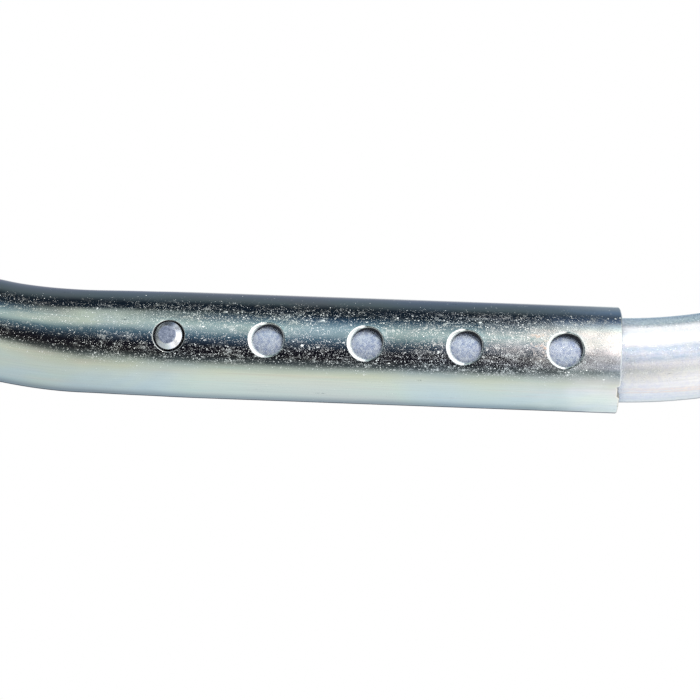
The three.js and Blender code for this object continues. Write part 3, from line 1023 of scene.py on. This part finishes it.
def button_material():
    m = Nodes("button_zinc")
    p = m.attribute("tube").outputs["Vector"]
    top = m.span(m.add_sep(p, 2), 2.45, 2.72)
    mot = m.noise(p, 1.3, 6.0, 0.7).outputs["Fac"]
    fine = m.noise(p, 5.0, 4.0, 0.7).outputs["Fac"]
    face = m.ramp(mot, [(0.35, (0.12, 0.145, 0.21)), (0.5, (0.21, 0.245, 0.33)), (0.68, (0.38, 0.42, 0.50))])
    side = m.ramp(mot, [(0.35, (0.74, 0.78, 0.88)), (0.6, (0.92, 0.91, 0.88))])
    color = m.mix(top, side, face)
    rings = m.noise(scaled(m, p, 0.5, 0.5, 9.0), 1.0, 3.0, 0.6).outputs["Fac"]
    metal = m.math("MULTIPLY_ADD", top, -0.55, 0.97)
    rough = m.math("MULTIPLY_ADD", top, 0.26, m.span(fine, 0.3, 0.7, 0.15, 0.24))
    n = m.bump(m.math("ADD", mot, m.math("MULTIPLY", fine, 0.4)), 0.00006)
    n = m.bump(rings, 0.000006, normal=n)
    return m.surface(color, metal, rough, n)


def spring_material():
    m = Nodes("spring_steel")
    p = m.attribute("tube").outputs["Vector"]
    slow = m.noise(scaled(m, p, 0.12, 0.3, 0.3), 1.0, 3.0).outputs["Fac"]
    fine = m.noise(scaled(m, p, 0.2, 6.0, 6.0), 1.0, 4.0, 0.6).outputs["Fac"]
    color = m.ramp(slow, [(0.35, (0.10, 0.13, 0.20)), (0.5, (0.22, 0.25, 0.30)), (0.65, (0.34, 0.33, 0.30))])
    color = m.mix(m.span(fine, 0.4, 0.7, 0.0, 0.3), color, (0.45, 0.47, 0.5))
    return m.surface(color, 0.95, m.span(fine, 0.3, 0.7, 0.22, 0.38), m.bump(fine, 0.00001))


def rubber_material():
    m = Nodes("rubber")
    p = m.attribute("tube").outputs["Vector"]
    mot = m.noise(p, 0.35, 6.0, 0.65).outputs["Fac"]
    grain = m.noise(p, 4.5, 4.0, 0.7).outputs["Fac"]
    dust = m.math("MULTIPLY", m.span(mot, 0.46, 0.68), m.span(grain, 0.35, 0.62))
    color = m.mix(m.span(mot, 0.3, 0.7), (0.016, 0.016, 0.018), (0.034, 0.033, 0.033))
    color = m.mix(m.math("MULTIPLY", dust, 0.10), color, (0.20, 0.195, 0.185))
    scuffs = m.span(m.noise(scaled(m, p, 0.6, 0.6, 4.0), 1.0, 5.0, 0.7).outputs["Fac"], 0.60, 0.70)
    color = m.mix(m.math("MULTIPLY", scuffs, 0.08), color, (0.22, 0.22, 0.22))
    rough = m.math("MULTIPLY_ADD", dust, 0.2, m.span(grain, 0.3, 0.7, 0.52, 0.68))
    n = m.bump(grain, 0.00005)
    n = m.bump(mot, 0.00005, normal=n)
    return m.surface(color, 0.0, rough, n, Specular_IOR_Level=0.4)


RUBBER = rubber_material()
for obj, mat in (
    (outer_tube, zinc_outer), (inner_tube, zinc_inner), (lock_button, button_material()),
    (spring_clip, spring_material()), (outer_cap, RUBBER), (inner_cap, RUBBER),
):
    obj.data.materials.append(mat)
# the hidden CAD nodes carry the same finishes
for node, mat in (
    ("outer_tube", zinc_outer), ("inner_tube", zinc_inner), ("lock_button", lock_button.data.materials[0]),
    ("spring_clip", spring_clip.data.materials[0]), ("outer_end_cap", RUBBER), ("inner_end_cap", RUBBER),
):
    for k in range(len(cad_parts[node].material_slots)):
        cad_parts[node].material_slots[k].material = mat

# ---- bodies ---------------------------------------------------------------------------------------------
for obj, body, node, slot in (
    (outer_tube, "outer", "outer_tube", "zinc_outer"),
    (outer_cap, "outer", "outer_end_cap", "rubber"),
    (inner_tube, "inner", "inner_tube", "zinc_inner"),
    (inner_cap, "inner", "inner_end_cap", "rubber"),
    (lock_button, "button", "lock_button", "button_zinc"),
):
    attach(obj, body)
    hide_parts(node)
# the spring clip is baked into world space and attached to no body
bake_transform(spring_clip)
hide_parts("spring_clip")

# ---- stage: pale floor, world, lights, camera -------------------------------------------------------------
scene = bpy.context.scene
floor_mesh = bpy.data.meshes.new("floor")
ring_n, floor_r = 64, 14.0
fv = [(0.0, 0.0, 0.0)] + [
    (floor_r * math.cos(2 * math.pi * k / ring_n), floor_r * math.sin(2 * math.pi * k / ring_n), 0.0) for k in range(ring_n)
]
floor_mesh.from_pydata(fv, [], [(0, 1 + k, 1 + (k + 1) % ring_n) for k in range(ring_n)])
floor = bpy.data.objects.new("floor", floor_mesh)
floor.location = (0.0, 0.0, -0.00005)
scene.collection.objects.link(floor)
m = Nodes("floor_pale")
diffuse = m.add("ShaderNodeBsdfDiffuse")
diffuse.inputs["Color"].default_value = (0.86, 0.87, 0.88, 1)
glow = m.add("ShaderNodeEmission")
glow.inputs["Color"].default_value = (0.93, 0.94, 0.95, 1)
geo = m.add("ShaderNodeNewGeometry")
distance = m.add("ShaderNodeVectorMath", operation="LENGTH")
m.link(geo.outputs["Position"], distance.inputs[0])
far = m.span(distance.outputs["Value"], 0.35, 1.6)
fade = m.add("ShaderNodeMixShader")
m.link(far, fade.inputs[0])
m.link(diffuse.outputs[0], fade.inputs[1])
m.link(glow.outputs[0], fade.inputs[2])
# the photograph's camera looks up from just below the floor's level, so the floor has no underside
clear = m.add("ShaderNodeBsdfTransparent")
under = m.add("ShaderNodeMixShader")
m.link(geo.outputs["Backfacing"], under.inputs[0])
m.link(fade.outputs[0], under.inputs[1])
m.link(clear.outputs[0], under.inputs[2])
out = m.add("ShaderNodeOutputMaterial")
m.link(under.outputs[0], out.inputs["Surface"])
floor_mesh.materials.append(m.mat)
floor.visible_glossy = False

world = bpy.data.worlds.new("studio")
scene.world = world
world.use_nodes = True
w = Nodes.__new__(Nodes)
w.t, w.x = world.node_tree, 0
w.t.nodes.clear()
direction = w.add("ShaderNodeTexCoord").outputs["Generated"]
dx, dy, dz = w.add_sep(direction, 0), w.add_sep(direction, 1), w.add_sep(direction, 2)
psi = w.math("ARCTAN2", dz, w.math("MULTIPLY", dy, -1.0))  # 0 towards -Y, +90 degrees up
turn = w.math("MULTIPLY_ADD", psi, 1 / (2 * math.pi), 0.5, clamp=True)


def stops(table):
    return [((a + 180) / 360, c) for a, c in table]


DIM = stops([
    (-180, (0.0432, 0.0524, 0.0718)),
    (-173, (0.0672, 0.0858, 0.1147)),
    (-165, (0.3458, 0.429, 0.5069)),
    (-155, (0.3302, 0.4256, 0.5083)),
    (-130, (0.6553, 0.7823, 0.8374)),
    (-105, (0.7185, 0.847, 0.8869)),
    (-82, (0.7638, 0.8568, 0.8457)),
    (-66, (0.7252, 0.7746, 0.6923)),
    (-54, (0.4867, 0.547, 0.5087)),
    (-44, (0.0613, 0.0744, 0.0813)),
    (-30, (0.0099, 0.0084, 0.0124)),
    (-12, (0.0088, 0.0091, 0.0156)),
    (2, (0.0375, 0.0623, 0.0988)),
    (12, (0.0862, 0.1594, 0.2198)),
    (22, (0.3171, 0.4238, 0.4686)),
    (36, (0.4078, 0.5479, 0.6002)),
    (47, (0.1777, 0.2791, 0.3541)),
    (57, (0.0389, 0.0835, 0.1426)),
    (68, (0.0053, 0.0135, 0.0277)),
    (90, (0.0104, 0.017, 0.0279)),
    (108, (0.096, 0.1284, 0.1585)),
    (132, (0.1343, 0.1745, 0.2411)),
    (148, (0.2141, 0.2421, 0.3269)),
    (157, (0.6008, 0.6254, 0.6642)),
    (165, (0.4845, 0.5182, 0.5655)),
    (173, (0.0775, 0.0893, 0.1167)),
    (180, (0.0436, 0.0491, 0.0674)),
])
LIT = stops([
    (-180, (0.0969, 0.1128, 0.1505)),
    (-173, (0.1551, 0.1786, 0.2257)),
    (-165, (0.9206, 0.987, 1.0345)),
    (-155, (0.8894, 0.9976, 1.0494)),
    (-132, (0.9211, 1.0081, 1.1594)),
    (-105, (1.0618, 1.1519, 1.2152)),
    (-82, (1.0192, 1.0388, 1.1704)),
    (-66, (0.9049, 0.9257, 0.9451)),
    (-56, (0.8457, 0.8223, 0.8422)),
    (-46, (0.6941, 0.7402, 0.7446)),
    (-37, (0.4433, 0.5153, 0.5322)),
    (-28, (0.9974, 0.9901, 1.0806)),
    (-15, (0.9478, 0.8897, 0.919)),
    (-4, (1.2531, 1.1888, 1.2635)),
    (6, (2.0292, 1.7478, 1.7406)),
    (16, (2.2108, 1.9471, 1.9288)),
    (28, (1.8447, 1.6264, 1.6511)),
    (38, (1.8903, 1.6963, 1.7676)),
    (48, (2.1177, 1.9333, 1.8938)),
    (57, (1.5038, 1.6477, 1.6987)),
    (65, (1.0214, 1.2118, 1.4317)),
    (73, (0.4244, 0.5468, 0.768)),
    (83, (0.1047, 0.1676, 0.3085)),
    (97, (0.0714, 0.1023, 0.1661)),
    (113, (0.1438, 0.2145, 0.3335)),
    (137, (0.2813, 0.342, 0.4203)),
    (148, (0.2839, 0.3426, 0.4198)),
    (157, (0.8548, 0.922, 0.9508)),
    (165, (0.7039, 0.7617, 0.7924)),
    (173, (0.1609, 0.1905, 0.2377)),
    (180, (0.1006, 0.1203, 0.1584)),
])
# towards -X the same bands sit higher
lift = w.math("MULTIPLY", w.math("MINIMUM", w.math("MAXIMUM", w.math("SUBTRACT", -0.085, dx), 0.0), 0.30), 120 / 360)
lift = w.math("MULTIPLY", lift, w.span(psi, -1.75, -0.85))
dim = w.ramp(w.math("SUBTRACT", turn, lift), DIM)
lit = w.ramp(turn, [(a, tuple(min(1.0, v / 3.0) for v in c)) for a, c in LIT])
lit_x = w.vmath("SCALE", lit, (0, 0, 0))
lit_x.node.inputs["Scale"].default_value = 3.0
late = w.math("MULTIPLY", w.span(psi, -0.85, -0.62), w.span(psi, 0.20, -0.05))
turn_on = w.span(dx, w.math("MULTIPLY_ADD", late, 0.018, 0.036), w.math("MULTIPLY_ADD", late, -0.006, 0.074))
bands = w.mix(turn_on, dim, lit_x)
# the upper light band is paler and warmer towards -X
pale = w.math("MULTIPLY", w.span(dx, -0.085, -0.15), w.math("MULTIPLY", w.span(psi, 0.38, 0.68), w.span(psi, 1.34, 1.04)))
bands = w.mix(pale, bands, (0.62, 0.70, 0.64))
duller = w.math("MULTIPLY", w.math("MULTIPLY", w.span(dx, -0.085, -0.15), w.span(psi, -0.65, -0.95)), 0.19)
bands = w.mix(duller, bands, (0.0, 0.0, 0.0))
# a bright window far to +X and upwards, and a dull wall far to -X
window = w.ramp(turn, stops([
    (-180, (0.5, 0.5, 0.5)), (-110, (0.8, 0.8, 0.8)), (-60, (0.95, 0.95, 0.95)), (0, (1.0, 1.0, 1.0)),
    (60, (0.95, 0.97, 1.0)), (85, (0.45, 0.5, 0.55)), (130, (0.3, 0.34, 0.4)), (180, (0.5, 0.5, 0.5)),
]))
window_x = w.vmath("SCALE", window, (0, 0, 0))
window_x.node.inputs["Scale"].default_value = 1.5
bands = w.mix(w.span(dx, 0.15, 0.34), bands, window_x)
# a dark door frame beside the window
frame_x = w.math("MULTIPLY", w.span(dx, 0.44, 0.56), w.span(dx, 0.86, 0.72))
slats = w.ramp(turn, stops([
    (-180, 0.85), (-168, 0.85), (-152, 0.12), (-112, 0.0), (-82, 0.30), (-52, 0.95), (8, 0.95), (26, 0.20),
    (50, 0.12), (72, 0.45), (98, 1.0), (124, 1.0), (142, 0.18), (162, 0.12), (172, 0.80), (180, 0.85),
]))
bands = w.mix(w.math("MULTIPLY", w.math("MULTIPLY", frame_x, 0.92), slats), bands, (0.07, 0.085, 0.11))
wall_x = w.ramp(turn, stops([
    (-180, (0.3, 0.32, 0.34)), (-100, (0.55, 0.60, 0.60)), (-60, (0.34, 0.36, 0.36)), (-20, (0.10, 0.11, 0.13)),
    (40, (0.16, 0.19, 0.22)), (90, (0.06, 0.08, 0.10)), (180, (0.3, 0.32, 0.34)),
]))
bands = w.mix(w.span(dx, -0.32, -0.46), bands, wall_x)
path = w.add("ShaderNodeLightPath")
even = w.mix(w.span(dz, -0.4, 0.9), (0.26, 0.27, 0.28), (0.40, 0.41, 0.43))
seen = w.mix(path.outputs["Is Diffuse Ray"], bands, even)
seen = w.mix(path.outputs["Is Camera Ray"], seen, (1.0, 1.0, 1.0))
bg = w.add("ShaderNodeBackground")
w.link(seen, bg.inputs["Color"])
wout = w.add("ShaderNodeOutputWorld")
w.link(bg.outputs[0], wout.inputs["Surface"])


def area(name, at, target, size, size_y, power, color=(1, 1, 1), glossy=True):
    light = bpy.data.lights.new(name, "AREA")
    light.shape = "RECTANGLE"
    light.size, light.size_y, light.energy, light.color = size, size_y, power, color
    obj = bpy.data.objects.new(name, light)
    obj.location = at
    obj.rotation_mode = "QUATERNION"
    obj.rotation_quaternion = (Vector(target) - Vector(at)).to_track_quat("-Z", "Y")
    obj.visible_camera = False
    obj.visible_glossy = glossy
    scene.collection.objects.link(obj)
    return obj


area("key_upper_right", (0.34, -1.17, 0.42), (0.0, 0.0, 0.03), 0.30, 0.30, 17.0, (1.0, 0.985, 0.96), glossy=False)
area("fill_left", (-0.9, -0.6, 0.7), (0.0, 0.0, 0.05), 0.8, 0.8, 4.0, (0.93, 0.97, 1.0), glossy=False)
area("back_top", (0.1, 0.9, 0.9), (0.0, 0.0, 0.08), 0.9, 0.6, 6.0, (0.96, 0.98, 1.0), glossy=False)

cam_data = bpy.data.cameras.new("camera")
cam = bpy.data.objects.new("camera", cam_data)
scene.collection.objects.link(cam)
scene.camera = cam
cam_data.sensor_width = 36.0
F_PX, DIST = 2532.56, 650.0
YAW, ELEV, ROLL = 2.061 * RAD, 9.275 * RAD, 2.392 * RAD
cam_data.lens = F_PX / 700 * 36.0
cam_data.clip_start, cam_data.clip_end = 0.02, 60.0
fwd = np.array([-math.sin(YAW) * math.cos(ELEV), math.cos(YAW) * math.cos(ELEV), math.sin(ELEV)])
right = np.array([math.cos(YAW), math.sin(YAW), 0.0])
up = np.cross(right, fwd)
cr, sr = math.cos(ROLL), math.sin(ROLL)
right, up = cr * right + sr * up, -sr * right + cr * up
target = np.array([-4.69 + SHIFT_X, 0.0, AXIS_Z + 0.178])
place_at = (target - fwd * DIST) * MM
from mathutils import Matrix

cam.matrix_world = Matrix((
    (right[0], up[0], -fwd[0], place_at[0]),
    (right[1], up[1], -fwd[1], place_at[1]),
    (right[2], up[2], -fwd[2], place_at[2]),
    (0, 0, 0, 1),
))

scene.view_settings.view_transform = "Standard"
scene.view_settings.look = "None"
scene.view_settings.exposure = 0.0
scene.cycles.use_denoising = True

bpy.context.view_layer.update()
